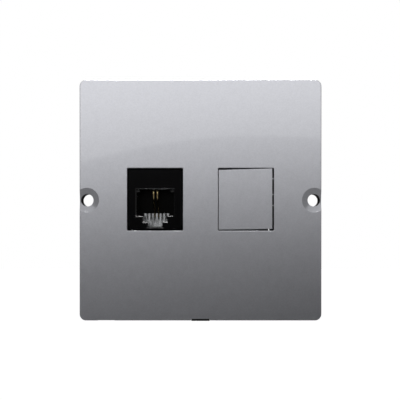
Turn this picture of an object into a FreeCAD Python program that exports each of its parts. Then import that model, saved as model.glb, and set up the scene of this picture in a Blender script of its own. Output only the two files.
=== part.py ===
import FreeCAD, Part
import math
import os
import re

import Sketcher

# Telephone wall socket: a square front plate over a black carrier frame that two screws hold
# on a wall box. Of the two wells in the frame, one holds a telephone jack and one a blank.
# X runs to the right, Z up, and the front looks along -Y. The wall is the plane Y = 0.
# A depth is measured from the wall towards the viewer, so it is -Y.

doc = FreeCAD.newDocument("telephone_wall_socket")
sheet = doc.addObject("Spreadsheet::Sheet", "Sizes")

SIZES = (
    ("PlateWidth", 64.0, "front plate, across"),
    ("PlateHeight", 63.7, "front plate, top to bottom"),
    ("PlateDepth", 7.0, "front face of the plate to the wall"),
    ("PlateDraft", 0.1, "how far each side leans in towards the front"),
    ("PlateCorner", 1.8, "radius of the plate's corners"),
    ("PlateEdge", 0.2, "rounding of the front edge"),
    ("SkinThick", 2.0, "thickness of the plate's face"),
    ("SkirtWall", 1.3, "thickness of the plate's skirt"),
    ("SkirtGap", 0.3, "skirt to the wall"),
    ("SkirtCorner", 0.8, "inside corners of the skirt"),
    ("StiffenerThick", 1.0, "ribs behind the plate's face"),
    ("StiffenerHigh", 1.2, "how far those ribs stand off"),
    ("StiffenerShift", 19.0, "ribs from the middle, up and down"),
    ("ScrewInset", 2.0, "screws from the plate's sides, 60 mm apart as a wall box needs"),
    ("ScrewBore", 3.3, "clearance hole for the screws"),
    ("SinkWide", 6.5, "countersink across, at the face"),
    ("SinkDepth", 1.1, "depth of the countersink"),
    ("SinkFloor", 2.2, "plastic left behind the countersink"),
    ("ScrewBlockWide", 8.0, "thick block round each screw"),
    ("OpeningWidth", 14.7, "opening for a module, across"),
    ("OpeningHeight", 16.5, "opening for a module, top to bottom"),
    ("OpeningSpacing", 24.0, "between the two openings"),
    ("OpeningLift", 0.2, "openings above the screws"),
    ("OpeningCorner", 0.25, "corners of the openings"),
    ("OpeningEdge", 0.15, "rounding of the openings' front edge"),
    ("PryWidth", 5.0, "notch for a screwdriver, across"),
    ("PryDepth", 0.55, "how deep that notch cuts into the bottom edge"),
    ("PryWindow", 4.6, "height of the window behind the notch, off the wall"),
    ("PryRoom", 0.6, "room for the screwdriver's tip in that window"),
    ("PryTabGap", 0.05, "frame's tab to the notch at each side"),
    ("PryTabProud", 0.3, "frame's tab past the bottom edge"),
    ("BiteWidth", 4.4, "shallow relief in the bottom edge, across"),
    ("BiteDepth", 0.18, "depth of that relief"),
    ("BiteShift", 24.9, "relief to the left of the middle"),
    ("SnapLength", 8.0, "snap ridges inside the skirt, along the edge"),
    ("SnapShift", 18.0, "snap ridges from the middle"),
    ("SnapReach", 0.5, "how far a ridge grips"),
    ("SnapRise", 0.6, "height of a ridge's slope"),
    ("SnapGap", 0.1, "clearance of a ridge"),
    ("FrameGap", 0.15, "frame to the skirt, all round"),
    ("FrameThick", 2.0, "thickness of the frame's base"),
    ("EarWide", 6.8, "frame's ears, top to bottom"),
    ("EarShort", 0.15, "tips of the ears inside the plate's sides"),
    ("SleeveWall", 1.4, "wall of the wells"),
    ("SleeveReach", 2.7, "wells behind the wall plane"),
    ("LedgeStep", 0.6, "seat for a module's collar at the sides and top of a well"),
    ("RibThick", 1.2, "ribs between the wells and the frame's edge"),
    ("RibShort", 0.4, "ribs stop short of the plate's face"),
    ("PostWide", 4.0, "posts under the plate's face"),
    ("PostInset", 6.0, "posts from the frame's edges"),
    ("ModuleGap", 0.2, "module to its opening and well"),
    ("CollarLength", 2.6, "front collar of a module"),
    ("CollarEdge", 0.35, "bevel round the jack's face"),
    ("JackRecess", 0.35, "jack's face behind the plate's face"),
    ("BarrelLength", 14.7, "jack's housing, front to back"),
    ("ArmThick", 1.2, "latch arm"),
    ("ArmGap", 1.1, "free space under the latch arm"),
    ("ArmWide", 7.0, "latch arm, across"),
    ("HookRise", 1.2, "how far the hooks catch"),
    ("HookLength", 2.2, "length of a hook's crest"),
    ("HookGap", 0.1, "hook to the well's back edge"),
    ("ThumbLength", 5.4, "thumb rest behind the hook"),
    ("ThumbRise", 1.4, "thumb rest above the hook"),
    ("PortWidth", 9.85, "plug opening, across"),
    ("PortHeight", 7.0, "plug opening, top to bottom"),
    ("PortDrop", 0.8, "plug opening below the jack's middle"),
    ("PortDepth", 11.9, "plug opening, front to back"),
    ("PortEdge", 0.3, "bevel round the plug opening"),
    ("FrontWall", 1.6, "wall that the plug's tab locks behind"),
    ("TabWide", 6.3, "upper step of the tab slot, across"),
    ("TabStep", 1.6, "upper step below the plug opening"),
    ("KeyWide", 3.8, "lower step of the tab slot, across"),
    ("KeyStep", 1.4, "lower step below the upper one"),
    ("GuideWide", 0.8, "guides in the port's top corners, across"),
    ("GuideHigh", 0.7, "guides, top to bottom"),
    ("GuideSetback", 0.9, "guides behind the jack's face"),
    ("GuideLean", 0.25, "how far the guides' fronts lean back"),
    ("GuideRoot", 0.5, "guides into the port's walls"),
    ("ChannelFloor", 0.6, "plastic between the port and the wire channel"),
    ("ChannelWide", 6.6, "wire channel, across"),
    ("ChannelHigh", 1.5, "wire channel, top to bottom"),
    ("ChannelFront", 2.05, "plastic in front of the wire channel"),
    ("BackWide", 11.8, "pocket in the jack's back, across"),
    ("BackTop", 4.9, "top of that pocket above the jack's middle"),
    ("CarrierGap", 0.1, "wire carrier and comb to the housing"),
    ("ShelfShort", 3.2, "carrier's shelf behind the channel's front"),
    ("ContactPitch", 1.02, "between neighbouring contacts"),
    ("WireWide", 0.45, "contact wire"),
    ("WireBend", 2.4, "radius of the contact's bend"),
    ("BendSetback", 3.0, "centre of the bend behind the channel's front"),
    ("WireGap", 0.05, "wires above the floor of their grooves"),
    ("GrooveWide", 0.6, "grooves for the wires"),
    ("SlotWide", 0.7, "slots through which the wires enter the port"),
    ("CombTop", 3.6, "top of the comb below the jack's middle"),
    ("CombReach", 1.95, "comb in front of the carrier"),
    ("CombWide", 6.8, "comb, across"),
    ("CombSlotWide", 0.5, "slots of the comb"),
    ("CombSlotDeep", 1.35, "depth of those slots"),
    ("CombFoot", 0.9, "solid foot under the slots"),
    ("WireSink", 0.85, "wire tips below the comb's top"),
    ("WireTipSetback", 0.85, "wire tips behind the comb's front"),
    ("BoardThick", 1.2, "circuit board"),
    ("WireTail", 0.35, "wire ends past the board"),
    ("WireHole", 0.62, "holes for the wire ends"),
    ("BlockBase", 3.0, "base of the terminal block"),
    ("TowerIn", 3.3, "inner side of a terminal tower from the middle"),
    ("TowerWide", 3.2, "terminal tower, across"),
    ("TowerHigh", 12.8, "terminal tower, top to bottom"),
    ("TowerLength", 7.75, "terminal tower behind the base"),
    ("TerminalSpacing", 6.6, "between the two terminals of a tower"),
    ("BladeThick", 0.4, "terminal blade"),
    ("BladeWide", 3.0, "terminal blade, across"),
    ("BladeGap", 0.05, "blade to its slot"),
    ("BladeSetback", 0.6, "blade tips below the tower's end"),
    ("BladeRoot", 1.35, "blade's shoulder in the base"),
    ("BladeTail", 0.9, "blade's tail through the board, across"),
    ("BladeTailProud", 0.15, "tail's end inside the board's front"),
    ("SlitWide", 0.3, "slit that grips a conductor"),
    ("SlitLength", 5.1, "length of that slit"),
    ("SlitMouth", 1.5, "mouth of the slit"),
    ("SlitLead", 1.0, "length of the mouth"),
    ("ConductorSlot", 1.0, "slots for the conductors in a tower"),
    ("ConductorDeep", 5.5, "depth of those slots"),
    ("CapGap", 0.1, "cap to its tower"),
    ("CapWall", 0.8, "wall of a cap"),
    ("CapSkirt", 6.6, "cap down over its tower"),
    ("CapSlot", 1.4, "slots for the conductors in a cap"),
    ("CapSlotDeep", 3.5, "depth of those slots"),
    ("BlankRecess", 0.1, "blank's face behind the plate's face"),
    ("BlankLeft", 0.1, "gap at the blank's left"),
    ("BlankRight", 0.38, "gap at the blank's right"),
    ("BlankTop", 0.05, "gap at the blank's top right"),
    ("BlankTopSlope", 0.4, "how far the top edge falls to the left"),
    ("BlankFoot", 0.22, "gap at the blank's bottom left"),
    ("BlankFootSlope", 0.2, "how far the bottom edge rises to the right"),
    ("BlankEdge", 0.12, "rounding of the blank's front edge"),
    ("BlankWall", 1.2, "wall of the blank"),
    ("BlankLength", 13.2, "blank, front to back"),
    ("NubWide", 0.3, "crush ribs at the blank's right"),
    ("NubSetback", 0.3, "crush ribs behind the blank's face"),
    ("NubGap", 0.03, "crush ribs to the opening"),
    ("NubTop", 5.5, "upper crush rib above the middle"),
    ("NubMiddle", 1.3, "middle crush rib above the middle"),
    ("NubLow", 1.6, "lower crush rib below the middle"),
)
for row, (alias, number, meaning) in enumerate(SIZES, 1):
    sheet.set(f"A{row}", meaning)
    sheet.set(f"B{row}", str(number))
    sheet.setAlias(f"B{row}", alias)
doc.recompute()

# Depths of the main planes, and heights and half widths that several pieces share.
SKIN_BACK = "(PlateDepth - SkinThick)"
BLOCK_BACK = "(PlateDepth - SinkDepth - SinkFloor)"
JACK_FACE = "(PlateDepth - JackRecess)"
BLANK_FACE = "(PlateDepth - BlankRecess)"
LEDGE = f"({JACK_FACE} - CollarLength)"
BARREL_BACK = f"({JACK_FACE} - BarrelLength)"
PORT_BACK = f"({JACK_FACE} - PortDepth)"
CHANNEL_FRONT = f"({JACK_FACE} - ChannelFront)"
COMB_FRONT = f"({PORT_BACK} + CombReach)"
BOARD_BACK = f"({BARREL_BACK} - BoardThick)"
BASE_BACK = f"({BOARD_BACK} - BlockBase)"
TOWER_BACK = f"({BASE_BACK} - TowerLength)"
COLLAR_TOP = "(OpeningHeight / 2 - ModuleGap)"
BARREL_TOP = f"({COLLAR_TOP} - ArmThick - ArmGap)"
BARREL_SIDE = "(OpeningWidth / 2 - LedgeStep - ModuleGap)"
PORT_TOP = "(PortHeight / 2 - PortDrop)"
PORT_FLOOR = "(-PortHeight / 2 - PortDrop)"
TAB_FLOOR = f"({PORT_FLOOR} - TabStep)"
KEY_FLOOR = f"({TAB_FLOOR} - KeyStep)"
CHANNEL_BOTTOM = f"({PORT_TOP} + ChannelFloor)"
SHELF_TOP = f"({CHANNEL_BOTTOM} + ChannelHigh - CarrierGap)"
GROOVE_FLOOR = f"({CHANNEL_BOTTOM} + ChannelHigh / 2 - WireWide / 2)"
WIRE_LINE = f"({GROOVE_FLOOR} + WireWide / 2 + WireGap)"
SCREW_X = "(PlateWidth / 2 - ScrewInset)"
BARREL_MIDDLE = f"(({BARREL_TOP} - {COLLAR_TOP}) / 2)"
TOWER_MIDDLE = "(TowerIn + TowerWide / 2)"
FRAME_SIDE = "(PlateWidth / 2 - SkirtWall - FrameGap)"
FRAME_TOP = "(PlateHeight / 2 - SkirtWall - FrameGap)"
JACK_X = "-OpeningSpacing / 2"
BLANK_X = "OpeningSpacing / 2"

TOUCH = 1e-4
SIDES = (("left", "-1"), ("right", "1"))
LEVELS = (("low", "-1"), ("high", "1"))
CONTACT_COUNT = 6
WIRE_COUNT = 2
parts = []
volumes = {}


# Expressions, bodies and sketches

def named(text):
    """Point each size in an expression at its cell."""
    return re.sub(r"\b[A-Z]\w+", lambda word: "Sizes." + word.group(), text)


def value(text):
    """The number that an expression stands for now."""
    result = sheet.evalExpression(named(text))
    return getattr(result, "Value", result)


def new_body(label):
    made = doc.addObject("PartDesign::Body", label)
    made.Label = label
    parts.append(made)
    return made


def origin_plane(owner, role):
    return next(feature for feature in owner.Origin.OriginFeatures if feature.Role == role)


def new_sketch(owner, name, plane, at, x, y):
    """A sketch on one of the body's own planes, its origin moved by x, y and the depth."""
    made = owner.newObject("Sketcher::SketchObject", name)
    made.AttachmentSupport = [(origin_plane(owner, plane), "")]
    made.MapMode = "FlatFace"
    for axis, text in (("x", x), ("y", y), ("z", at)):
        made.setExpression(f"AttachmentOffset.Base.{axis}", named(text))
    return made


def constrain(made, kind, targets, text):
    """One sketch dimension, bound to its expression."""
    index = made.addConstraint(Sketcher.Constraint(kind, *targets, value(text)))
    made.setExpression(f"Constraints[{index}]", named(text))


def polygon(owner, name, corners, plane="XZ_Plane", at="0", x="0", y="0"):
    """A closed outline of straight sides with every corner placed from the sketch's origin."""
    made = new_sketch(owner, name, plane, at, x, y)
    points = [FreeCAD.Vector(value(across), value(up), 0) for across, up in corners]
    ends = points[1:] + points[:1]
    made.addGeometry([Part.LineSegment(*pair) for pair in zip(points, ends)], False)
    for side in range(len(points)):
        made.addConstraint(Sketcher.Constraint("Coincident", side, 2, (side + 1) % len(points), 1))
    for side, (across, up) in enumerate(corners):
        constrain(made, "DistanceX", (-1, 1, side, 1), across)
        constrain(made, "DistanceY", (-1, 1, side, 1), up)
    return made


def rectangle(owner, name, left, bottom, right, top, **place):
    return polygon(owner, name, ((left, bottom), (right, bottom), (right, top), (left, top)), **place)


def centred(owner, name, width, height, **place):
    half, rise = f"({width}) / 2", f"({height}) / 2"
    return rectangle(owner, name, f"-{half}", f"-{rise}", half, rise, **place)


def rounded(owner, name, width, height, radius, plane="XZ_Plane", at="0", x="0", y="0"):
    """A rectangle about the sketch's origin with four equal rounded corners."""
    made = new_sketch(owner, name, plane, at, x, y)
    half, rise, bend = value(width) / 2, value(height) / 2, value(radius)
    point, up = FreeCAD.Vector, FreeCAD.Vector(0, 0, 1)
    sides = (
        (point(bend - half, -rise, 0), point(half - bend, -rise, 0)),
        (point(half, bend - rise, 0), point(half, rise - bend, 0)),
        (point(half - bend, rise, 0), point(bend - half, rise, 0)),
        (point(-half, rise - bend, 0), point(-half, bend - rise, 0)),
    )
    corners = (
        (point(half - bend, bend - rise, 0), -90),
        (point(half - bend, rise - bend, 0), 0),
        (point(bend - half, rise - bend, 0), 90),
        (point(bend - half, bend - rise, 0), 180),
    )
    made.addGeometry([Part.LineSegment(*side) for side in sides], False)
    for centre, start in corners:
        arc = (math.radians(start), math.radians(start + 90))
        made.addGeometry(Part.ArcOfCircle(Part.Circle(centre, up, bend), *arc), False)
    for side in range(4):
        made.addConstraint(Sketcher.Constraint("Tangent", side, 2, 4 + side, 1))
        made.addConstraint(Sketcher.Constraint("Tangent", 4 + side, 2, (side + 1) % 4, 1))
        made.addConstraint(Sketcher.Constraint(("Horizontal", "Vertical")[side % 2], side))
    for corner in (4, 5, 6):
        made.addConstraint(Sketcher.Constraint("Equal", corner, corner + 1))
    constrain(made, "Radius", (4,), radius)
    constrain(made, "DistanceX", (-1, 1, 1, 1), f"({width}) / 2")
    constrain(made, "DistanceX", (3, 1, -1, 1), f"({width}) / 2")
    constrain(made, "DistanceY", (-1, 1, 2, 1), f"({height}) / 2")
    constrain(made, "DistanceY", (0, 1, -1, 1), f"({height}) / 2")
    return made


def circle(owner, name, radius, plane="XZ_Plane", at="0", x="0", y="0"):
    made = new_sketch(owner, name, plane, at, x, y)
    ring = Part.Circle(FreeCAD.Vector(), FreeCAD.Vector(0, 0, 1), value(radius))
    made.addGeometry(ring, False)
    made.addConstraint(Sketcher.Constraint("Coincident", 0, 3, -1, 1))
    constrain(made, "Radius", (0,), radius)
    return made


# Features, each compared with the solid before it

def settle(feature, sign):
    """Rebuild, and make sure that the feature adds (1) or removes (-1) material."""
    doc.recompute()
    owner = feature.getParent().Label
    volume = feature.Shape.Volume
    if (volume - volumes.get(owner, 0)) * sign <= 0:
        raise ValueError(f"{feature.Label} of {owner} changes nothing")
    volumes[owner] = volume
    return feature


def pad(owner, profile, length, back=False, middle=False, lean="0"):
    """Add material towards the viewer, or backwards, or to both sides of the sketch."""
    made = owner.newObject("PartDesign::Pad", profile.Name + "Pad")
    made.Profile = profile
    made.setExpression("Length", named(length))
    made.setExpression("TaperAngle", named(lean))
    made.Reversed = back
    made.Midplane = middle
    return settle(made, 1)


def pocket(owner, profile, length=None, front=False):
    """Cut away from the viewer, or towards the front; with no length, right through."""
    made = owner.newObject("PartDesign::Pocket", profile.Name + "Cut")
    made.Profile = profile
    made.Reversed = front
    if length is None:
        made.Type = "ThroughAll"
    else:
        made.setExpression("Length", named(length))
    return settle(made, -1)


def mirror(owner, feature, sign, plane="YZ_Plane"):
    made = owner.newObject("PartDesign::Mirrored", feature.Name + "Mirror")
    made.Originals = [feature]
    made.MirrorPlane = (origin_plane(owner, plane), [""])
    owner.Tip = made
    return settle(made, sign)


def row(owner, feature, sign, axis, count, length):
    """Copies of a feature in a straight row, the last one a length away from the first."""
    made = owner.newObject("PartDesign::LinearPattern", feature.Name + "Row")
    made.Originals = [feature]
    made.Direction = (origin_plane(owner, axis), [""])
    made.Occurrences = count
    made.setExpression("Length", named(length))
    owner.Tip = made
    return settle(made, sign)


def soften(owner, name, kind, size, chosen):
    """Round or bevel the edges of the body that a test picks."""
    base = owner.Tip
    edges = [f"Edge{index}" for index, edge in enumerate(base.Shape.Edges, 1) if chosen(edge)]
    made = owner.newObject("PartDesign::" + kind, name)
    made.Base = (base, edges)
    made.setExpression({"Fillet": "Radius", "Chamfer": "Size"}[kind], named(size))
    return settle(made, -1)


def at_depth(edge, depth):
    """Whether an edge lies in the plane at this depth."""
    box = edge.BoundBox
    return abs(box.YMin + depth) < TOUCH and abs(box.YMax + depth) < TOUCH


def near(edge, x, z, half_width, half_height):
    """Whether an edge lies within a half width and a half height of a place on the face."""
    box = edge.BoundBox
    beside = max(abs(box.XMin - x), abs(box.XMax - x)) < half_width
    return beside and max(abs(box.ZMin - z), abs(box.ZMax - z)) < half_height


# Front plate

def front_plate():
    """Moulded plate with a skirt, two openings, two countersunk screw holes and snap ridges."""
    plate = new_body("front_plate")
    outline = rounded(
        plate, "SkirtOutline", "PlateWidth", "PlateHeight", "PlateCorner", at="SkirtGap")
    pad(plate, outline, "PlateDepth - SkirtGap", lean="-atan(PlateDraft / (PlateDepth - SkirtGap))")
    soften(plate, "FrontEdge", "Fillet", "PlateEdge", lambda edge: at_depth(edge, value("PlateDepth")))

    inside = rounded(
        plate, "SkirtInside", "PlateWidth - 2 * SkirtWall", "PlateHeight - 2 * SkirtWall",
        "SkirtCorner", at="SkirtGap")
    pocket(plate, inside, f"{SKIN_BACK} - SkirtGap", front=True)
    for name, sign in LEVELS:
        rib = rectangle(
            plate, "Stiffener" + name, "SkirtWall - PlateWidth / 2", "-StiffenerThick / 2",
            "PlateWidth / 2 - SkirtWall", "StiffenerThick / 2",
            at=SKIN_BACK, y=f"{sign} * StiffenerShift")
        pad(plate, rib, "StiffenerHigh", back=True)

    screw_block = rectangle(
        plate, "ScrewBlock", "-ScrewBlockWide / 2", "-ScrewBlockWide / 2",
        "ScrewInset - SkirtWall / 2", "ScrewBlockWide / 2", at=SKIN_BACK, x=SCREW_X)
    mirror(plate, pad(plate, screw_block, f"{SKIN_BACK} - {BLOCK_BACK}", back=True), 1)
    ear_window = rectangle(
        plate, "EarWindow", "0", "-EarWide / 2 - FrameGap", "PlateWidth", "EarWide / 2 + FrameGap",
        at="0", x="PlateWidth / 2 - SkirtWall - FrameGap")
    mirror(plate, pocket(plate, ear_window, BLOCK_BACK, front=True), -1)

    opening = rounded(
        plate, "Opening", "OpeningWidth", "OpeningHeight", "OpeningCorner",
        at="PlateDepth", x="OpeningSpacing / 2", y="OpeningLift")
    mirror(plate, pocket(plate, opening), -1)
    reach = value("OpeningSpacing / 2 + OpeningWidth / 2 + OpeningEdge")
    soften(
        plate, "OpeningRim", "Fillet", "OpeningEdge",
        lambda edge: at_depth(edge, value("PlateDepth")) and near(edge, 0, 0, reach, reach))

    sink = polygon(
        plate, "Countersink",
        (("0", "-PlateDepth - SinkDepth"), ("SinkWide / 2", "-PlateDepth - SinkDepth"),
         ("SinkWide / 2", "-PlateDepth"), ("ScrewBore / 2", "SinkDepth - PlateDepth"),
         ("ScrewBore / 2", "SinkDepth"), ("0", "SinkDepth")),
        plane="XY_Plane", x=SCREW_X)
    bore = plate.newObject("PartDesign::Groove", "ScrewHole")
    bore.Profile = sink
    bore.ReferenceAxis = (sink, ["V_Axis"])
    bore.Angle = 360
    mirror(plate, settle(bore, -1), -1)

    notch = rectangle(
        plate, "PryNotch", "-PryWidth / 2", "-PlateHeight", "PryWidth / 2",
        "PryDepth - PlateHeight / 2", at="PlateDepth")
    pocket(plate, notch)
    window = rectangle(
        plate, "PryWindowOutline", "-PryWidth / 2", "-PlateHeight", "PryWidth / 2",
        "SkirtWall + FrameGap - PlateHeight / 2", at="0")
    pocket(plate, window, "PryWindow", front=True)
    bite = rectangle(
        plate, "EdgeRelief", "-BiteWidth / 2", "-PlateHeight", "BiteWidth / 2",
        "BiteDepth - PlateHeight / 2", at="PlateDepth", x="-BiteShift")
    pocket(plate, bite)

    for side, across in SIDES:
        for level, up in LEVELS:
            wall = f"{up} * (PlateHeight / 2 - SkirtWall)"
            tip = f"{wall} - {up} * SnapReach"
            root = f"{wall} + {up} * SkirtWall / 2"
            foot = "-SkirtGap"
            crest = "-SkirtGap - SnapRise"
            ridge = polygon(
                plate, f"Snap{level}{side}",
                ((foot, root), (foot, wall), (crest, tip), (crest, root)),
                plane="YZ_Plane", at=f"{across} * SnapShift")
            pad(plate, ridge, "SnapLength", middle=True)


# Carrier frame

def rear_frame():
    """Frame that lies on the wall: wells for the modules, ears for the screws, ribs and posts."""
    frame = new_body("rear_frame")
    base = rounded(
        frame, "FrameBase", f"2 * {FRAME_SIDE}", f"2 * {FRAME_TOP}", "SkirtCorner", at="0")
    pad(frame, base, "FrameThick")
    ear = rectangle(
        frame, "Ear", "-ScrewBlockWide / 2", "-EarWide / 2", "ScrewInset - EarShort",
        "EarWide / 2", x=SCREW_X)
    mirror(frame, pad(frame, ear, BLOCK_BACK), 1)
    sleeve = centred(
        frame, "Sleeve", "OpeningWidth + 2 * SleeveWall", "OpeningHeight + 2 * SleeveWall",
        at=SKIN_BACK, x=BLANK_X, y="OpeningLift")
    mirror(frame, pad(frame, sleeve, f"{SKIN_BACK} + SleeveReach", back=True), 1)

    rib_high = f"{SKIN_BACK} - FrameThick / 2 - StiffenerHigh - RibShort"
    spine = rectangle(
        frame, "CrossRib", f"-{SCREW_X}", "-RibThick / 2", SCREW_X, "RibThick / 2",
        at="FrameThick / 2", y="OpeningLift")
    pad(frame, spine, rib_high)
    for side, across in SIDES:
        post_rib = rectangle(
            frame, "TallRib" + side, "-RibThick / 2", f"RibThick - {FRAME_TOP}", "RibThick / 2",
            f"{FRAME_TOP} - RibThick", at="FrameThick / 2", x=f"{across} * OpeningSpacing / 2")
        pad(frame, post_rib, rib_high)
        for level, up in LEVELS:
            post = circle(
                frame, f"Post{level}{side}", "PostWide / 2", at="FrameThick / 2",
                x=f"{across} * ({FRAME_SIDE} - PostInset)", y=f"{up} * ({FRAME_TOP} - PostInset)")
            pad(frame, post, f"{SKIN_BACK} - FrameThick / 2")

    ledge_side = "(OpeningWidth / 2 - LedgeStep)"
    well_back = rectangle(
        frame, "WellBack", f"-{ledge_side}", "-OpeningHeight / 2", ledge_side,
        "OpeningHeight / 2 - LedgeStep", at=SKIN_BACK, x=BLANK_X, y="OpeningLift")
    mirror(frame, pocket(frame, well_back), -1)
    arm_pass = centred(
        frame, "ArmPass", "ArmWide + 2 * ModuleGap", "OpeningHeight",
        at=SKIN_BACK, x=BLANK_X, y="OpeningLift")
    mirror(frame, pocket(frame, arm_pass), -1)
    well_front = centred(
        frame, "WellFront", "OpeningWidth", "OpeningHeight",
        at=SKIN_BACK, x=BLANK_X, y="OpeningLift")
    mirror(frame, pocket(frame, well_front, f"{SKIN_BACK} - {LEDGE}"), -1)
    bore = circle(frame, "EarBore", "ScrewBore / 2", at="PlateDepth", x=SCREW_X)
    mirror(frame, pocket(frame, bore), -1)

    for side, across in SIDES:
        for level, up in LEVELS:
            edge = f"{up} * ({FRAME_TOP} + SnapReach)"
            floor = f"{up} * ({FRAME_TOP} + FrameGap - SnapReach - SnapGap)"
            low, high = (edge, floor) if up == "-1" else (floor, edge)
            catch = rectangle(
                frame, f"Catch{level}{side}", "-SnapLength / 2 - SnapGap", low,
                "SnapLength / 2 + SnapGap", high, at="0", x=f"{across} * SnapShift")
            pocket(frame, catch, "SkirtGap + SnapRise + SnapGap", front=True)

    tab = rectangle(
        frame, "PryTab", "PryTabGap - PryWidth / 2", "-PlateHeight / 2 - PryTabProud",
        "PryWidth / 2 - PryTabGap", f"RibThick - {FRAME_TOP}", at="0")
    pad(frame, tab, "PryWindow - PryRoom")


# Modules that snap into the wells

def snap_hooks(owner, x):
    """Latch arm over the module and a fixed hook all along its foot; both catch behind the well."""
    catch = "(SleeveReach + HookGap)"
    crest = f"({catch} + HookLength)"
    arm = polygon(
        owner, "LatchArm",
        ((f"CollarLength / 2 - {JACK_FACE}", f"{COLLAR_TOP} - ArmThick"),
         (f"{catch} + ArmThick", f"{COLLAR_TOP} - ArmThick"),
         (f"{crest} + ThumbLength", f"{COLLAR_TOP} + HookRise + ThumbRise - ArmThick"),
         (f"{crest} + ThumbLength", f"{COLLAR_TOP} + HookRise + ThumbRise"),
         (crest, f"{COLLAR_TOP} + HookRise"),
         (catch, f"{COLLAR_TOP} + HookRise"),
         (catch, COLLAR_TOP),
         (f"CollarLength / 2 - {JACK_FACE}", COLLAR_TOP)),
        plane="YZ_Plane", at=x, y="OpeningLift")
    pad(owner, arm, "ArmWide", middle=True)
    hook = polygon(
        owner, "FootHook",
        ((catch, f"ArmThick / 2 - {COLLAR_TOP}"),
         (catch, f"-{COLLAR_TOP} - HookRise"),
         (f"{catch} + HookRise / 2", f"-{COLLAR_TOP} - HookRise"),
         (crest, f"-{COLLAR_TOP}"),
         (crest, f"ArmThick / 2 - {COLLAR_TOP}")),
        plane="YZ_Plane", at=x, y="OpeningLift")
    pad(owner, hook, f"2 * {BARREL_SIDE}", middle=True)


def jack_housing():
    """Housing of the telephone jack, with the stepped plug opening and the wire channel."""
    jack = new_body("jack_housing")
    place = {"x": JACK_X, "y": "OpeningLift"}
    collar = centred(
        jack, "Collar", "OpeningWidth - 2 * ModuleGap", "OpeningHeight - 2 * ModuleGap",
        at=JACK_FACE, **place)
    pad(jack, collar, "CollarLength", back=True)
    soften(jack, "CollarBevel", "Chamfer", "CollarEdge", lambda edge: at_depth(edge, value(JACK_FACE)))
    barrel = rectangle(
        jack, "Barrel", f"-{BARREL_SIDE}", f"-{COLLAR_TOP}", BARREL_SIDE, BARREL_TOP,
        at=LEDGE, **place)
    pad(jack, barrel, f"{LEDGE} - {BARREL_BACK}", back=True)
    snap_hooks(jack, JACK_X)

    port, tab, key = "PortWidth / 2", "TabWide / 2", "KeyWide / 2"
    mouth = polygon(
        jack, "PortMouth",
        ((f"-{port}", PORT_TOP), (f"-{port}", PORT_FLOOR), (f"-{tab}", PORT_FLOOR),
         (f"-{tab}", TAB_FLOOR), (f"-{key}", TAB_FLOOR), (f"-{key}", KEY_FLOOR),
         (key, KEY_FLOOR), (key, TAB_FLOOR), (tab, TAB_FLOOR),
         (tab, PORT_FLOOR), (port, PORT_FLOOR), (port, PORT_TOP)),
        at=JACK_FACE, **place)
    pocket(jack, mouth, "FrontWall")
    cavity = polygon(
        jack, "PortCavity",
        ((f"-{port}", PORT_TOP), (f"-{port}", PORT_FLOOR), (f"-{tab}", PORT_FLOOR),
         (f"-{tab}", KEY_FLOOR), (tab, KEY_FLOOR), (tab, PORT_FLOOR),
         (port, PORT_FLOOR), (port, PORT_TOP)),
        at=f"{JACK_FACE} - FrontWall", **place)
    pocket(jack, cavity, "PortDepth - FrontWall")
    low, high = f"{PORT_TOP} - GuideHigh", f"{PORT_TOP} + GuideRoot"
    for side, across in SIDES:
        guide = polygon(
            jack, "Guide" + side,
            ((f"GuideSetback - {JACK_FACE}", low), (f"PortDepth - {JACK_FACE}", low),
             (f"PortDepth - {JACK_FACE}", high),
             (f"GuideSetback + GuideLean - {JACK_FACE}", high)),
            plane="YZ_Plane", y="OpeningLift",
            at=f"{JACK_X} + {across} * (PortWidth + GuideRoot - GuideWide) / 2")
        pad(jack, guide, "GuideWide + GuideRoot", middle=True)

    rear = rectangle(
        jack, "RearPocket", "-BackWide / 2", KEY_FLOOR, "BackWide / 2", "BackTop",
        at=BARREL_BACK, **place)
    pocket(jack, rear, f"{PORT_BACK} - {BARREL_BACK}", front=True)
    channel = rectangle(
        jack, "WireChannel", "-ChannelWide / 2", CHANNEL_BOTTOM, "ChannelWide / 2",
        f"{CHANNEL_BOTTOM} + ChannelHigh", at=BARREL_BACK, **place)
    pocket(jack, channel, f"{CHANNEL_FRONT} - {BARREL_BACK}", front=True)
    for side, across in SIDES:
        slot = rectangle(
            jack, "WireSlot" + side, "-SlotWide / 2", f"{PORT_TOP} - ChannelFloor / 2",
            "SlotWide / 2", f"{CHANNEL_BOTTOM} + ChannelFloor / 2", at=BARREL_BACK,
            x=f"{JACK_X} + {across} * ContactPitch / 2", y="OpeningLift")
        pocket(jack, slot, f"{CHANNEL_FRONT} - {BARREL_BACK}", front=True)

    beside, below = value(f"{port} + PortEdge"), value(f"PortEdge - {KEY_FLOOR}")
    rim = (value(JACK_X), value("OpeningLift"), beside, below)
    soften(
        jack, "PortBevel", "Chamfer", "PortEdge",
        lambda edge: at_depth(edge, value(JACK_FACE)) and near(edge, *rim))


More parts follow.
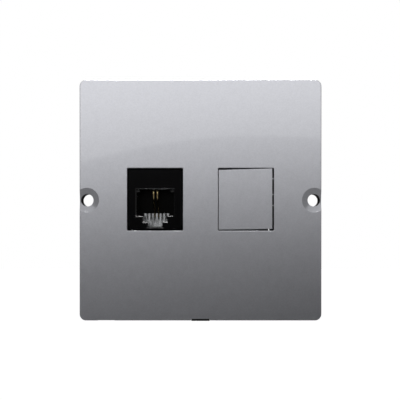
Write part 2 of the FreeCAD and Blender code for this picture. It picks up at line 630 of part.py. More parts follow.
def contact_carrier():
    """Black insert that closes the port's back and carries the contact wires on its shelf."""
    carrier = new_body("contact_carrier")
    place = {"x": JACK_X, "y": "OpeningLift"}
    wall = rectangle(
        carrier, "CarrierWall", "CarrierGap - BackWide / 2", f"{KEY_FLOOR} + CarrierGap",
        "BackWide / 2 - CarrierGap", "BackTop - CarrierGap", at=PORT_BACK, **place)
    pad(carrier, wall, f"{PORT_BACK} - {BARREL_BACK}", back=True)
    shelf = rectangle(
        carrier, "Shelf", "CarrierGap - ChannelWide / 2", f"{CHANNEL_BOTTOM} + CarrierGap",
        "ChannelWide / 2 - CarrierGap", SHELF_TOP, at=f"{CHANNEL_FRONT} - ShelfShort", **place)
    pad(carrier, shelf, f"{CHANNEL_FRONT} - ShelfShort - {BARREL_BACK}", back=True)
    comb_gate = rectangle(
        carrier, "CombGate", "-CombWide / 2 - CarrierGap", f"{KEY_FLOOR} - CarrierGap",
        "CombWide / 2 + CarrierGap", "CarrierGap - CombTop", at=PORT_BACK, **place)
    pocket(carrier, comb_gate)
    for side, across in SIDES:
        groove = rectangle(
            carrier, "Groove" + side, "-GrooveWide / 2", GROOVE_FLOOR, "GrooveWide / 2",
            "BackTop + CarrierGap", at=CHANNEL_FRONT,
            x=f"{JACK_X} + {across} * ContactPitch / 2", y="OpeningLift")
        pocket(carrier, groove)


def contact_comb():
    """Clear comb with a slot for each of six contact places; the two wires end in it."""
    comb = new_body("contact_comb")
    place = {"x": JACK_X, "y": "OpeningLift"}
    foot, head = "(TabWide / 2 - CarrierGap)", "CombWide / 2"
    step = f"({PORT_FLOOR} + CarrierGap)"
    block = polygon(
        comb, "CombBlock",
        ((f"-{foot}", f"{KEY_FLOOR} + CarrierGap"), (foot, f"{KEY_FLOOR} + CarrierGap"),
         (foot, step), (head, step), (head, "-CombTop"), (f"-{head}", "-CombTop"),
         (f"-{head}", step), (f"-{foot}", step)),
        at=COMB_FRONT, **place)
    pad(comb, block, f"{COMB_FRONT} - {BARREL_BACK}", back=True)
    slot = rectangle(
        comb, "CombSlot", "-CombSlotWide / 2", f"{KEY_FLOOR} + CombFoot", "CombSlotWide / 2",
        "0", at=COMB_FRONT, x=f"{JACK_X} - {CONTACT_COUNT - 1} * ContactPitch / 2",
        y="OpeningLift")
    spread = f"{CONTACT_COUNT - 1} * ContactPitch"
    row(comb, pocket(comb, slot, "CombSlotDeep"), -1, "X_Axis", CONTACT_COUNT, spread)


def contact_wire(number, across):
    """Gold wire: along the shelf, round a bend at the front and back down into the comb."""
    wire = new_body(f"contact_wire_{number}")
    x = f"{JACK_X} + {across} * ContactPitch / 2"
    start = f"-({BOARD_BACK} - WireTail)"
    section = circle(
        wire, "WireSection", "WireWide / 2", at=f"{BOARD_BACK} - WireTail", x=x,
        y=f"OpeningLift + {WIRE_LINE}")
    path = new_sketch(wire, "WirePath", "YZ_Plane", x, "0", "OpeningLift")
    bend_y = f"-({CHANNEL_FRONT} - BendSetback)"
    tip_y, tip_z = f"-({COMB_FRONT} - WireTipSetback)", "-CombTop - WireSink"
    line, bend, radius = value(WIRE_LINE), value(bend_y), value("WireBend")
    centre = FreeCAD.Vector(bend, line - radius, 0)
    tip = FreeCAD.Vector(value(tip_y), value(tip_z), 0)
    # The slope leaves the bend along its tangent through the tip.
    away = tip - centre
    turn = math.atan2(away.y, away.x) + 2 * math.pi - math.acos(radius / away.Length)
    leave = centre + FreeCAD.Vector(math.cos(turn), math.sin(turn), 0) * radius
    path.addGeometry([
        Part.LineSegment(FreeCAD.Vector(value(start), line, 0), FreeCAD.Vector(bend, line, 0)),
        Part.ArcOfCircle(
            Part.Circle(centre, FreeCAD.Vector(0, 0, 1), radius), math.pi / 2, turn),
        Part.LineSegment(leave, tip)], False)
    path.addConstraint(Sketcher.Constraint("Horizontal", 0))
    path.addConstraint(Sketcher.Constraint("Tangent", 0, 2, 1, 1))
    path.addConstraint(Sketcher.Constraint("Tangent", 1, 2, 2, 1))
    constrain(path, "Radius", (1,), "WireBend")
    constrain(path, "DistanceX", (-1, 1, 1, 3), bend_y)
    constrain(path, "DistanceX", (-1, 1, 0, 1), start)
    constrain(path, "DistanceY", (-1, 1, 0, 1), WIRE_LINE)
    constrain(path, "DistanceX", (-1, 1, 2, 2), tip_y)
    constrain(path, "DistanceY", (-1, 1, 2, 2), tip_z)
    pipe = wire.newObject("PartDesign::AdditivePipe", "WireBody")
    pipe.Profile = section
    pipe.Spine = path
    settle(pipe, 1)


# Circuit board and terminals behind the jack

def each_terminal():
    """The four terminals: a number, then X and Z from the jack's middle."""
    number = 0
    for _, across in SIDES:
        for _, up in LEVELS:
            number += 1
            yield number, f"{across} * {TOWER_MIDDLE}", f"{BARREL_MIDDLE} + {up} * TerminalSpacing / 2"


def circuit_board():
    board = new_body("circuit_board")
    outline = rectangle(
        board, "BoardOutline", f"-{BARREL_SIDE}", f"-{COLLAR_TOP}", BARREL_SIDE, BARREL_TOP,
        at=BARREL_BACK, x=JACK_X, y="OpeningLift")
    pad(board, outline, "BoardThick", back=True)
    hole = circle(
        board, "WireEndHole", "WireHole / 2", at=BARREL_BACK,
        x=f"{JACK_X} - ContactPitch / 2", y=f"OpeningLift + {WIRE_LINE}")
    spread = f"{WIRE_COUNT - 1} * ContactPitch"
    row(board, pocket(board, hole), -1, "X_Axis", WIRE_COUNT, spread)
    for number, x, z in each_terminal():
        slot = centred(
            board, f"TailSlot{number}", "BladeThick + 2 * BladeGap", "BladeTail + 2 * BladeGap",
            at=BARREL_BACK, x=f"{JACK_X} + {x}", y=f"OpeningLift + {z}")
        pocket(board, slot)


def terminal_block():
    """Block with two towers, slotted for the blades and across them for the conductors."""
    block = new_body("terminal_block")
    place = {"x": JACK_X, "y": "OpeningLift"}
    base = rectangle(
        block, "BlockOutline", f"-{BARREL_SIDE}", f"-{COLLAR_TOP}", BARREL_SIDE, BARREL_TOP,
        at=BOARD_BACK, **place)
    pad(block, base, "BlockBase", back=True)
    for side, across in SIDES:
        tower = centred(
            block, "Tower" + side, "TowerWide", "TowerHigh", at=BASE_BACK,
            x=f"{JACK_X} + {across} * {TOWER_MIDDLE}", y=f"OpeningLift + {BARREL_MIDDLE}")
        pad(block, tower, "TowerLength", back=True)
    relief = centred(
        block, "SolderRelief", "2 * ContactPitch + WireWide", "ChannelHigh", at=BOARD_BACK,
        x=JACK_X, y=f"OpeningLift + {WIRE_LINE}")
    pocket(block, relief, "WireTail + CarrierGap")
    for number, x, z in each_terminal():
        spot = {"x": f"{JACK_X} + {x}", "y": f"OpeningLift + {z}"}
        blade_slot = centred(
            block, f"BladeSlot{number}", "BladeThick + 2 * BladeGap", "BladeWide + 2 * BladeGap",
            at=TOWER_BACK, **spot)
        pocket(block, blade_slot, f"{BOARD_BACK} - BladeRoot - {TOWER_BACK}", front=True)
        tail_slot = centred(
            block, f"TailSlot{number}", "BladeThick + 2 * BladeGap", "BladeTail + 2 * BladeGap",
            at=BOARD_BACK, **spot)
        pocket(block, tail_slot, "BlockBase")
        conductor = centred(
            block, f"ConductorSlot{number}", "TowerWide + 2 * CapGap", "ConductorSlot",
            at=TOWER_BACK, **spot)
        pocket(block, conductor, "ConductorDeep", front=True)


def idc_blade(number, x, z):
    """Forked blade whose slit cuts through a conductor's insulation."""
    blade = new_body(f"idc_blade_{number}")
    tail = f"BladeTailProud - {BARREL_BACK}"
    root = f"BladeRoot - {BOARD_BACK}"
    tip = f"-{TOWER_BACK} - BladeSetback"
    half_outline = (
        (tail, "BladeTail / 2"), (root, "BladeTail / 2"), (root, "BladeWide / 2"),
        (tip, "BladeWide / 2"), (tip, "SlitMouth / 2"), (f"{tip} - SlitLead", "SlitWide / 2"),
        (f"{tip} - SlitLength", "SlitWide / 2"))
    outline = half_outline + tuple((along, f"-{up}") for along, up in reversed(half_outline))
    fork = polygon(
        blade, "Fork", outline, plane="YZ_Plane", at=f"{JACK_X} + {x}", y=f"OpeningLift + {z}")
    pad(blade, fork, "BladeThick", middle=True)


def terminal_cap(number, across):
    """Cap that snaps over a tower and holds the conductors in their slots."""
    cap = new_body(f"terminal_cap_{number}")
    place = {"x": f"{JACK_X} + {across} * {TOWER_MIDDLE}", "y": f"OpeningLift + {BARREL_MIDDLE}"}
    room = "2 * CapGap"
    top = f"({TOWER_BACK} - CapGap - CapWall)"
    rim = f"({TOWER_BACK} + CapSkirt)"
    shell = centred(
        cap, "CapOutline", f"TowerWide + {room} + 2 * CapWall", f"TowerHigh + {room} + 2 * CapWall",
        at=rim, **place)
    pad(cap, shell, f"{rim} - {top}", back=True)
    hollow = centred(cap, "CapInside", f"TowerWide + {room}", f"TowerHigh + {room}", at=rim, **place)
    pocket(cap, hollow, f"{rim} - {top} - CapWall")
    for level, up in LEVELS:
        slot = rectangle(
            cap, "CapSlot" + level, "0", "-CapSlot / 2", f"{across} * TowerWide", "CapSlot / 2",
            at=rim, x=place["x"], y=f"{place['y']} + {up} * TerminalSpacing / 2")
        pocket(cap, slot, "CapSlotDeep")


# Blank for the second well

def blank_insert():
    """Blank in the plate's finish; it sits a little askew, and crush ribs steady its right side."""
    blank = new_body("blank_insert")
    place = {"x": BLANK_X, "y": "OpeningLift"}
    left, right = "BlankLeft - OpeningWidth / 2", "OpeningWidth / 2 - BlankRight"
    foot, top = "BlankFoot - OpeningHeight / 2", "OpeningHeight / 2 - BlankTop"
    panel = polygon(
        blank, "Panel",
        ((left, foot), (right, f"{foot} + BlankFootSlope"), (right, top),
         (left, f"{top} - BlankTopSlope")),
        at=BLANK_FACE, **place)
    pad(blank, panel, f"{BLANK_FACE} - {LEDGE}", back=True)
    soften(blank, "PanelEdge", "Fillet", "BlankEdge", lambda edge: at_depth(edge, value(BLANK_FACE)))
    body_back = f"({BLANK_FACE} - BlankLength)"
    shell = rectangle(
        blank, "BlankBody", f"-{BARREL_SIDE}", f"ModuleGap - {COLLAR_TOP}", BARREL_SIDE, BARREL_TOP,
        at=LEDGE, **place)
    pad(blank, shell, f"{LEDGE} - {body_back}", back=True)
    snap_hooks(blank, BLANK_X)
    hollow = rectangle(
        blank, "BlankHollow", f"BlankWall - {BARREL_SIDE}", f"BlankWall + ModuleGap - {COLLAR_TOP}",
        f"{BARREL_SIDE} - BlankWall", f"{BARREL_TOP} - BlankWall", at=body_back, **place)
    pocket(blank, hollow, f"{LEDGE} - {body_back}", front=True)
    for name, height in (("Top", "NubTop"), ("Middle", "NubMiddle"), ("Low", "-NubLow")):
        nub = rectangle(
            blank, "Nub" + name, f"{right} - NubWide", "-NubWide / 2", "OpeningWidth / 2 - NubGap",
            "NubWide / 2", at=f"{BLANK_FACE} - NubSetback", x=BLANK_X, y=f"OpeningLift + {height}")
        pad(blank, nub, f"{BLANK_FACE} - NubSetback - {SKIN_BACK}", back=True)


front_plate()
rear_frame()
jack_housing()
contact_carrier()
contact_comb()
for count, (_, direction) in enumerate(SIDES, 1):
    contact_wire(count, direction)
    terminal_cap(count, direction)
circuit_board()
terminal_block()
for terminal in each_terminal():
    idc_blade(*terminal)
blank_insert()

doc.recompute()
failed = [made.Label for made in doc.Objects if {"Invalid", "Error"} & set(made.State)]
failed += [part.Label for part in parts if part.Shape.isNull() or not part.Shape.isValid()]
if failed:
    raise RuntimeError("not built: " + ", ".join(failed))
os.makedirs("parts", exist_ok=True)
for part in parts:
    part.Shape.exportStep(f"parts/{part.Label}.step")
    print(f"{part.Label}: {len(part.Shape.Solids)} solid, {part.Shape.Volume:.2f} cubic mm")
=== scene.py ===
import math

import bmesh
import bpy
from mathutils import Matrix, Vector


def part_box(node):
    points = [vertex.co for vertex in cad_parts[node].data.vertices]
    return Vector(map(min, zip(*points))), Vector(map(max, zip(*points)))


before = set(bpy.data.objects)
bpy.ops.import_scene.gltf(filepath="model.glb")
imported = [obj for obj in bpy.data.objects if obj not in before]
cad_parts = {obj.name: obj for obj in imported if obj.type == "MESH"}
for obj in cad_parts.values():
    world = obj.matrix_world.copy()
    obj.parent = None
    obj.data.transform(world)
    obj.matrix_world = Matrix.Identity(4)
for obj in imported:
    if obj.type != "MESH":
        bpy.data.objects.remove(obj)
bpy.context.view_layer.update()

MM = 0.001

# The silver lacquer: its flakes, and how far the spray reached into the plate and past the blank's
# panel, with the width of the fade at its end
FLAKE_SIZE = 0.28 * MM
SPRAYED_FACE = 1.9 * MM
SPRAYED_SKIRT = 1.15 * MM
SPRAYED_PANEL = 2.6 * MM
FACE_FADE = 0.4 * MM
SKIRT_FADE = 0.1 * MM

# The mouldings: how deep a bump of full strength is, and how far the roughness drifts either way
BUMP_DEPTH = 0.02 * MM
GLOSS_DRIFT = 0.04

# The jack's contacts, and the heights over the comb's foot at which the painted shade of the jack's
# opening and the painted silver reflection of the comb change
CONTACT_PITCH = 1.02 * MM
PAINTED_SHADE_OVER_FOOT = 0.3 * MM
PAINTED_SILVER_OVER_FOOT = 1.7 * MM
CLEAR_OVER_FOOT = 2.1 * MM

# The studio, in metres, and how bright its parts are, where the white world is 1
WHITE = (1, 1, 1, 1)
WORLD_LIGHT = 0.55
FLOOR_DROP = 0.30
FLOOR_HALF = 6.0
FLOOR_GLOW = 0.5
BACKCLOTH_AWAY = 0.15
BACKCLOTH_HALF = 0.12
BACKCLOTH_TONE = 0.01
CEILING_HEIGHT = 0.62
CEILING_HALF = 0.8
CEILING_TONE = 0.55
TOP_LAMP_X = -0.036

# The tent, a bowl of cloth round the object, and the curve of its rim
TENT_RADIUS = 0.35
TENT_FOOT = -0.28
TENT_RINGS = 24
TENT_STEPS = 180
TOUCHING = 0.0001
RIM_MIDDLE = 0.0455
RIM_SLOPE = 0.099
RIM_BOW = 1.51
CURVE_LEFT = -0.11
CURVE_RIGHT = 0.10
WING_START = 0.13
WING_SLOPE = 1.1

# Where the tent's tone changes: up its front, from side to side, and from its front to the rest
TONE_LOWEST = -0.06
TONE_HIGHEST = 0.05
TONE_SIDE = 0.15
TONE_REST = -0.24
TONE_FRONT = -0.30

# The tent's tones, and what they are multiplied by at its left and right
FOOT_TONE = 0.06
RIM_TONE = 0.84
TONE_CURVE = 2.0
REST_TONE = 0.26
FOOT_SIDES = (1.45, 0.10)
RIM_SIDES = (1.02, 0.92)

# The photograph's camera: lens and sensor in mm, its place in metres, the shift in picture widths
FOCAL_LENGTH = 88.72
SENSOR_WIDTH = 36.0
CAMERA_AWAY = 0.267
CAMERA_LEFT = 0.14 * MM
CAMERA_DROP = 5.95 * MM
PICTURE_SHIFT = 0.0568


def linear(hex_colour):
    """An sRGB hex colour as the linear RGBA that the shaders take."""
    parts = [int(hex_colour[i:i + 2], 16) / 255 for i in (1, 3, 5)]
    return [c / 12.92 if c <= 0.04045 else ((c + 0.055) / 1.055) ** 2.4 for c in parts] + [1.0]


def put(tree, node, inputs):
    """Fills inputs of a node: another node's output is linked, and a plain value is set."""
    for socket, source in inputs.items():
        if isinstance(source, bpy.types.NodeSocket):
            tree.links.new(source, node.inputs[socket])
        else:
            node.inputs[socket].default_value = source


def add(tree, kind, inputs=None, **settings):
    """Adds one shader node with its settings and inputs."""
    node = tree.nodes.new("ShaderNode" + kind)
    for name, setting in settings.items():
        setattr(node, name, setting)
    put(tree, node, inputs or {})
    return node


def calc(tree, operation, *values):
    """One step of arithmetic on numbers and outputs."""
    return add(tree, "Math", dict(enumerate(values)), operation=operation).outputs[0]


def ramp(tree, value, low, high, first=0.0, last=1.0):
    """Goes from first to last as the value goes from low to high, and stays there beyond."""
    inputs = {"Value": value, "From Min": low, "From Max": high, "To Min": first, "To Max": last}
    return add(tree, "MapRange", inputs).outputs["Result"]


def vary(tree, pattern, first, last):
    """Goes from first to last as a pattern or mask goes from 0 to 1."""
    return ramp(tree, pattern, 0.0, 1.0, first, last)


def object_place(tree):
    """Each point's place in the object's own coordinates."""
    return add(tree, "TexCoord").outputs["Object"]


def axes_of(tree, vector):
    """The X, Y and Z of a place or direction."""
    return add(tree, "SeparateXYZ", {"Vector": vector}).outputs


def noise(tree, place, size, detail=2.0):
    """A cloudy pattern from 0 to 1, its patches about as wide as size."""
    inputs = {"Vector": place, "Scale": 1 / size, "Detail": detail}
    return add(tree, "TexNoise", inputs).outputs["Fac"]


def bumpy(tree, height, strength):
    """The direction of a surface that is rough by a pattern of heights."""
    inputs = {"Height": height, "Strength": strength, "Distance": BUMP_DEPTH}
    return add(tree, "Bump", inputs).outputs["Normal"]


def two_colours(tree, mask, first, second):
    """Mixes two colours by a mask from 0 to 1. Each is a hex colour or another node's output."""
    first, second = [linear(one) if isinstance(one, str) else one for one in (first, second)]
    inputs = {"Factor": mask, 6: first, 7: second}
    return add(tree, "Mix", inputs, data_type="RGBA").outputs[2]


def inside(material):
    """A material's tree and its main shader."""
    return material.node_tree, material.node_tree.nodes["Principled BSDF"]


def new_material(name, **values):
    """A material with one main shader, its even values set on the shader's own sockets."""
    material = bpy.data.materials.new(name)
    material.use_nodes = True
    tree, shader = inside(material)
    put(tree, shader, {socket.replace("_", " "): value for socket, value in values.items()})
    return material, tree, shader


def bare_plastic(tree, place):
    """Grey ABS that the spray didn't reach: dull, with a faint grain."""
    grain = noise(tree, place, 0.2 * MM)
    colour = two_colours(tree, grain, "#85868A", "#8D8E92")
    return add(tree, "BsdfPrincipled", {"Base Color": colour, "IOR": 1.53, "Roughness": 0.45})


def sprayed(name, coat_roughness, bare_from, bare_halves):
    """Grey ABS moulding sprayed from outside with silver metallic lacquer under a clear coat: the
    flakes give the soft sheen that fades from light to dark, and the clear coat gives the sharp edge
    of the light in it. No spray reached what lies behind bare_from and inside all the halves."""
    material, tree, shader = new_material(
        name, Metallic=1.0, Coat_Weight=1.0, Coat_Roughness=coat_roughness, Coat_IOR=1.6)
    place = object_place(tree)
    flakes = add(tree, "TexVoronoi", {"Vector": place, "Scale": 1 / FLAKE_SIZE}).outputs
    cloud = noise(tree, place, 2.2 * MM, detail=3.0)
    glint = axes_of(tree, flakes["Color"])["X"]
    tone = add(tree, "Mix", {"Factor": 0.42, 2: cloud, 3: glint}, data_type="FLOAT").outputs[0]
    put(tree, shader, {
        "Base Color": two_colours(tree, tone, "#C0C1C7", "#CFD0D6"),
        "Roughness": vary(tree, cloud, 0.30, 0.34),
        "Normal": bumpy(tree, flakes["Distance"], 0.10),
    })
    axes = axes_of(tree, place)
    unsprayed = ramp(tree, axes["Y"], bare_from, bare_from + FACE_FADE)
    for axis, half in bare_halves.items():
        inner = ramp(tree, calc(tree, "ABSOLUTE", axes[axis]), half, half - SKIRT_FADE)
        unsprayed = calc(tree, "MULTIPLY", unsprayed, inner)
    bare = bare_plastic(tree, place)
    both = add(tree, "MixShader", {"Fac": unsprayed, 1: shader.outputs[0], 2: bare.outputs[0]})
    put(tree, tree.nodes["Material Output"], {"Surface": both.outputs[0]})
    return material


def plate_lacquer():
    """The front plate: sprayed outside, and bare grey plastic inside its skirt."""
    low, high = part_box("front_plate")
    halves = {"X": high.x - SPRAYED_SKIRT, "Z": high.z - SPRAYED_SKIRT}
    return sprayed("silver_metallic_lacquer", 0.03, low.y + SPRAYED_FACE, halves)


def blank_lacquer():
    """The blank: its front panel is sprayed, and the whole body behind it is bare."""
    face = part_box("blank_insert")[0].y
    return sprayed("silver_metallic_blank", 0.12, face + SPRAYED_PANEL, {})


def moulded(name, first, second, roughness, grain, strength, ior=1.53, **more):
    """A moulded plastic: a faint change of tone, and the fine grain of a spark-eroded mould."""
    material, tree, shader = new_material(name, IOR=ior, **more)
    place = object_place(tree)
    cloud = noise(tree, place, 3.0 * MM)
    put(tree, shader, {
        "Base Color": two_colours(tree, cloud, first, second),
        "Roughness": vary(tree, cloud, roughness - GLOSS_DRIFT, roughness + GLOSS_DRIFT),
        "Normal": bumpy(tree, noise(tree, place, grain), strength),
    })
    return material


def black_frame():
    """Black ABS, moulded with a fine spark-eroded grain: dark and satin."""
    return moulded("black_abs_satin", "#18181B", "#1E1E21", 0.50, 0.18 * MM, 0.25)


def black_jack():
    """Black polycarbonate from a polished mould, whose guides, bevels and walls catch small
    highlights.
    Its front face, its other faces that look straight forward and the foot of its opening get
    almost no reflection: painted shade, so that they look like a dark hole."""
    material = moulded(
        "black_polycarbonate", "#020203", "#040405", 0.18, 0.5 * MM, 0.01, ior=1.58)
    tree, shader = inside(material)
    normal = axes_of(tree, add(tree, "NewGeometry").outputs["Normal"])
    # painted shade: faces that look straight forward get almost no reflection
    front = ramp(tree, calc(tree, "MULTIPLY", normal["Y"], -1.0), 0.95, 0.99)
    opening_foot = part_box("contact_comb")[0].z
    height = axes_of(tree, object_place(tree))["Z"]
    # painted shade: the foot of the opening gets almost no reflection too
    foot = ramp(tree, height, opening_foot + PAINTED_SHADE_OVER_FOOT, opening_foot)
    painted_shade = calc(tree, "MAXIMUM", front, foot)
    put(tree, shader, {"Specular IOR Level": vary(tree, painted_shade, 0.45, 0.05)})
    return material


def clear_comb():
    """Clear polycarbonate, moulded smooth. Its ribs and foot are made metallic, unevenly from rib to
    rib: a painted silver reflection. The slots between them stay dark and clear."""
    material = moulded(
        "clear_polycarbonate", "#E6E8EA", "#F6F8FA", 0.20, 0.4 * MM, 0.15, ior=1.58,
        Transmission_Weight=0.75)
    tree, shader = inside(material)
    low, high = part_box("contact_comb")
    middle = (low.x + high.x) / 2
    place = object_place(tree)
    axes = axes_of(tree, place)
    # painted reflection: the comb's ribs and foot are made metallic so that they look silver
    pitches = calc(tree, "MULTIPLY_ADD", axes["X"], 1 / CONTACT_PITCH, -middle / CONTACT_PITCH)
    off_rib = calc(tree, "PINGPONG", pitches, 0.5)
    rib = ramp(tree, off_rib, 0.32, 0.20)
    foot = ramp(tree, axes["Z"], low.z + CLEAR_OVER_FOOT, low.z + PAINTED_SILVER_OVER_FOOT)
    upright = add(tree, "Mapping", {"Vector": place, "Scale": (1.0, 0.0, 0.12)}).outputs["Vector"]
    # painted reflection: how strongly each rib is made metallic, uneven from rib to rib
    silver = ramp(tree, noise(tree, upright, 0.9 * MM), 0.30, 0.62, 0.35, 1.0)
    painted_reflection = calc(tree, "MULTIPLY", calc(tree, "MAXIMUM", rib, foot), silver)
    put(tree, shader, {"Metallic": painted_reflection})
    return material


def metal(name, pattern_of, first, second, smooth, rough):
    """A bare metal whose tone and gloss change by one pattern."""
    material, tree, shader = new_material(name, Metallic=1.0)
    pattern = pattern_of(tree, object_place(tree))
    put(tree, shader, {
        "Base Color": two_colours(tree, pattern, first, second),
        "Roughness": vary(tree, pattern, smooth, rough),
    })
    return material


def gold_contact():
    """Phosphor bronze wire with a gold flash, drawn smooth: warm, narrow highlights."""
    def patches(tree, place):
        return noise(tree, place, 0.15 * MM)

    return metal("gold_plated_bronze", patches, "#DCC48E", "#EBD8A8", 0.16, 0.28)


def tinned_blade():
    """Stamped phosphor bronze, dull tinned: grey metal with fine lines from the strip."""
    def lines(tree, place):
        turned = add(tree, "Mapping", {"Vector": place, "Scale": (1.0, 0.08, 1.0)})
        return noise(tree, turned.outputs["Vector"], 0.12 * MM, detail=3.0)

    return metal("tinned_bronze", lines, "#C2C2BE", "#D6D6D2", 0.28, 0.42)


def board():
    """Glass epoxy board under green solder resist, glossy, and sawn round its edges, where the pale
    laminate shows."""
    material = moulded("green_solder_resist", "#0F4A2B", "#15583A", 0.30, 0.45 * MM, 0.20)
    tree, shader = inside(material)
    normal = axes_of(tree, add(tree, "NewGeometry").outputs["Normal"])
    flat = ramp(tree, calc(tree, "ABSOLUTE", normal["Y"]), 0.4, 0.6)
    green = shader.inputs["Base Color"].links[0].from_socket
    put(tree, shader, {"Base Color": two_colours(tree, flat, "#8C8F5A", green)})
    return material


def terminal_grey():
    """Light grey glass-filled nylon: dull, with a slightly uneven tone."""
    return moulded("grey_nylon", "#B9B9B5", "#C5C5C1", 0.52, 0.22 * MM, 0.30)


def cap_black():
    """Black nylon of the terminal caps, moulded with a dull grain."""
    return moulded("black_nylon_satin", "#1B1B1D", "#232325", 0.48, 0.20 * MM, 0.25)


FINISHES = {
    "silver_lacquer": plate_lacquer,
    "black_frame": black_frame,
    "black_jack": black_jack,
    "clear_comb": clear_comb,
    "gold_contact": gold_contact,
    "board": board,
    "terminal_grey": terminal_grey,
    "tinned_blade": tinned_blade,
    "cap_black": cap_black,
}


def dress_nodes():
    """Gives every CAD node the finish that its slot in the record names, and the blank its own."""
    made = {slot: finish() for slot, finish in FINISHES.items()}
    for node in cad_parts.values():
        if not node.material_slots:
            raise RuntimeError(node.name + " has no material slot")
        for slot in node.material_slots:
            key = next(k for k in made if slot.material.name.startswith(k))
            slot.material = made[key]
    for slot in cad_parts["blank_insert"].material_slots:
        slot.material = blank_lacquer()


def looked_at(tree):
    """1 where a ray comes from the camera, a mirror or a clear piece, and 0 where it only lights."""
    path = add(tree, "LightPath").outputs
    seen = calc(tree, "MAXIMUM", path["Is Camera Ray"], path["Is Glossy Ray"])
    return calc(tree, "MAXIMUM", seen, path["Is Transmission Ray"])


def studio_world():
    """A white studio: full white where a ray looks at it, and dimmer where it only lights."""
    world = bpy.data.worlds.new("white_studio")
    bpy.context.scene.world = world
    world.use_nodes = True
    tree = world.node_tree
    strength = vary(tree, looked_at(tree), WORLD_LIGHT, 1.0)
    put(tree, tree.nodes["Background"], {"Color": WHITE, "Strength": strength})


def new_object(name, bm):
    """Turns a bmesh into an object at the origin."""
    mesh = bpy.data.meshes.new(name)
    bm.to_mesh(mesh)
    bm.free()
    piece = bpy.data.objects.new(name, mesh)
    bpy.context.scene.collection.objects.link(piece)
    return piece


def flat_sheet(name, half, place):
    """A square sheet, half of it to each side of a place."""
    bm = bmesh.new()
    bmesh.ops.create_grid(bm, x_segments=1, y_segments=1, size=half, matrix=place)
    return new_object(name, bm)


def pale_floor():
    """A plain white floor well below the object, which keeps the object's soft shadow."""
    floor = flat_sheet("studio_floor", FLOOR_HALF, Matrix.Translation((0, 0, -FLOOR_DROP)))
    material, tree, shader = new_material("white_floor", Roughness=0.9)
    put(tree, shader, {
        "Base Color": linear("#F4F4F4"),
        "Emission Color": WHITE,
        "Emission Strength": vary(tree, looked_at(tree), 0.0, FLOOR_GLOW),
    })
    floor.data.materials.append(material)


def hang(cloth, name, tone_of):
    """Gives a cloth of the studio its tone and lets it show in reflections only."""
    material = bpy.data.materials.new(name)
    material.use_nodes = True
    tree = material.node_tree
    tree.nodes.remove(tree.nodes["Principled BSDF"])
    light = add(tree, "Emission", {"Strength": tone_of(tree)})
    put(tree, tree.nodes["Material Output"], {"Surface": light.outputs[0]})
    cloth.data.materials.append(material)
    cloth.visible_camera = False
    cloth.visible_diffuse = False
    cloth.visible_shadow = False
    cloth.visible_transmission = False


def rim_height(x):
    """Height of the tent's rim: in front a curve, which the clear coat mirrors across the plate, and
    higher at both sides, which only the rings of the screw holes mirror."""
    middle = max(CURVE_LEFT, min(CURVE_RIGHT, x))
    wing = WING_SLOPE * max(0.0, abs(x) - WING_START)
    return RIM_MIDDLE + RIM_SLOPE * middle - RIM_BOW * middle * middle + wing


def tent_bowl():
    """A quarter circle spun to a bowl, with its foot flattened and its rim lifted to the curve."""
    bm = bmesh.new()
    chain = []
    for i in range(TENT_RINGS + 1):
        angle = math.radians(90 * i / TENT_RINGS)
        place = (0, -TENT_RADIUS * math.sin(angle), -TENT_RADIUS * math.cos(angle))
        chain.append(bm.verts.new(place))
    edges = [bm.edges.new(pair) for pair in zip(chain, chain[1:])]
    bmesh.ops.spin(bm, geom=chain + edges, cent=(0, 0, 0), axis=(0, 0, 1),
                   angle=math.radians(360), steps=TENT_STEPS, use_merge=True)
    bmesh.ops.remove_doubles(bm, verts=bm.verts, dist=TOUCHING)
    for vert in bm.verts:
        on_rim = vert.co.z >= -TOUCHING
        vert.co.z = rim_height(vert.co.x) if on_rim else max(TENT_FOOT, vert.co.z)
    return new_object("studio_tent", bm)


def tent_tone(tree):
    """In front the tent is lighter towards its rim and darker towards the right, most of all at its
    foot. The rest of it has one dark tone."""
    place = axes_of(tree, object_place(tree))
    height = ramp(tree, place["Z"], TONE_LOWEST, TONE_HIGHEST)
    level = vary(tree, calc(tree, "POWER", height, TONE_CURVE), FOOT_TONE, RIM_TONE)
    at_foot = ramp(tree, place["X"], -TONE_SIDE, TONE_SIDE, *FOOT_SIDES)
    at_rim = ramp(tree, place["X"], -TONE_SIDE, TONE_SIDE, *RIM_SIDES)
    front = calc(tree, "MULTIPLY", level, vary(tree, height, at_foot, at_rim))
    return vary(tree, ramp(tree, place["Y"], TONE_REST, TONE_FRONT), REST_TONE, front)


def grey_tent():
    """A grey bowl of cloth under the object: the plate darkens towards its foot because it mirrors
    this bowl, and the bowl's front rim is the curve across the plate."""
    hang(tent_bowl(), "grey_tent", tent_tone)


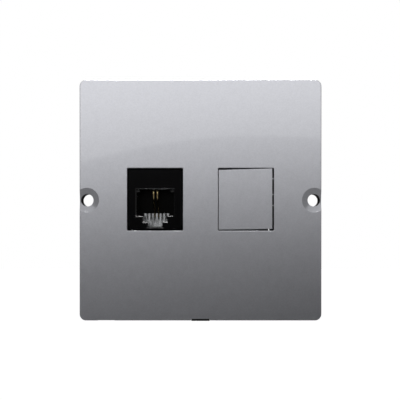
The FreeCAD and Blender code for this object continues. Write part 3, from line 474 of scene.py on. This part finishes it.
def dark_backcloth():
    """Dark cloth behind the object: the walls of the screw holes and the outermost edges mirror it,
    so they are dark against the white ground."""
    upright = Matrix.Rotation(math.radians(90), 4, "X")
    place = Matrix.Translation((0, BACKCLOTH_AWAY, 0)) @ upright
    cloth = flat_sheet("studio_backcloth", BACKCLOTH_HALF, place)
    hang(cloth, "backcloth", lambda tree: BACKCLOTH_TONE)


def grey_ceiling():
    """Grey cloth over the lamps: the lower sides of the countersinks mirror it."""
    place = Matrix.Translation((0, 0, CEILING_HEIGHT))
    cloth = flat_sheet("studio_ceiling", CEILING_HALF, place)
    hang(cloth, "ceiling", lambda tree: CEILING_TONE)


def softbox(name, place, aim, size, power):
    """A square soft light that looks at a point and isn't seen by the camera."""
    data = bpy.data.lights.new(name, "AREA")
    data.shape = "SQUARE"
    data.size = size
    data.energy = power
    lamp = bpy.data.objects.new(name, data)
    bpy.context.scene.collection.objects.link(lamp)
    lamp.location = place
    lamp.rotation_euler = (Vector(aim) - Vector(place)).to_track_quat("-Z", "Y").to_euler()
    lamp.visible_camera = False


def studio_lamps():
    """A large soft light in front, a small one high above the plate's left edge, which the short
    bright lines at the port's foot mirror, and one behind for the hidden side."""
    below = (TOP_LAMP_X, 0, 0)
    softbox("front_softbox", place=(-0.06, -0.62, 0.33), aim=(0, 0, 0), size=0.68, power=0.55)
    softbox("top_softbox", place=(TOP_LAMP_X, 0, 0.50), aim=below, size=0.07, power=0.9)
    softbox("rear_softbox", place=(0, 0.50, 0.50), aim=(0, 0, 0), size=0.4, power=4.0)


def photo_camera():
    """The photograph's camera: square on to the plate and a little below its middle, with the
    picture shifted up so that the plate stands in its middle."""
    data = bpy.data.cameras.new("photo_camera")
    data.sensor_width = SENSOR_WIDTH
    data.lens = FOCAL_LENGTH
    data.clip_start = 0.01
    data.shift_y = PICTURE_SHIFT
    camera = bpy.data.objects.new("photo_camera", data)
    bpy.context.scene.collection.objects.link(camera)
    camera.location = (-CAMERA_LEFT, -CAMERA_AWAY, -CAMERA_DROP)
    camera.rotation_euler = (math.radians(90), 0, 0)
    bpy.context.scene.camera = camera


dress_nodes()
studio_world()
pale_floor()
grey_tent()
dark_backcloth()
grey_ceiling()
studio_lamps()
photo_camera()
bpy.context.scene.view_settings.view_transform = "Standard"
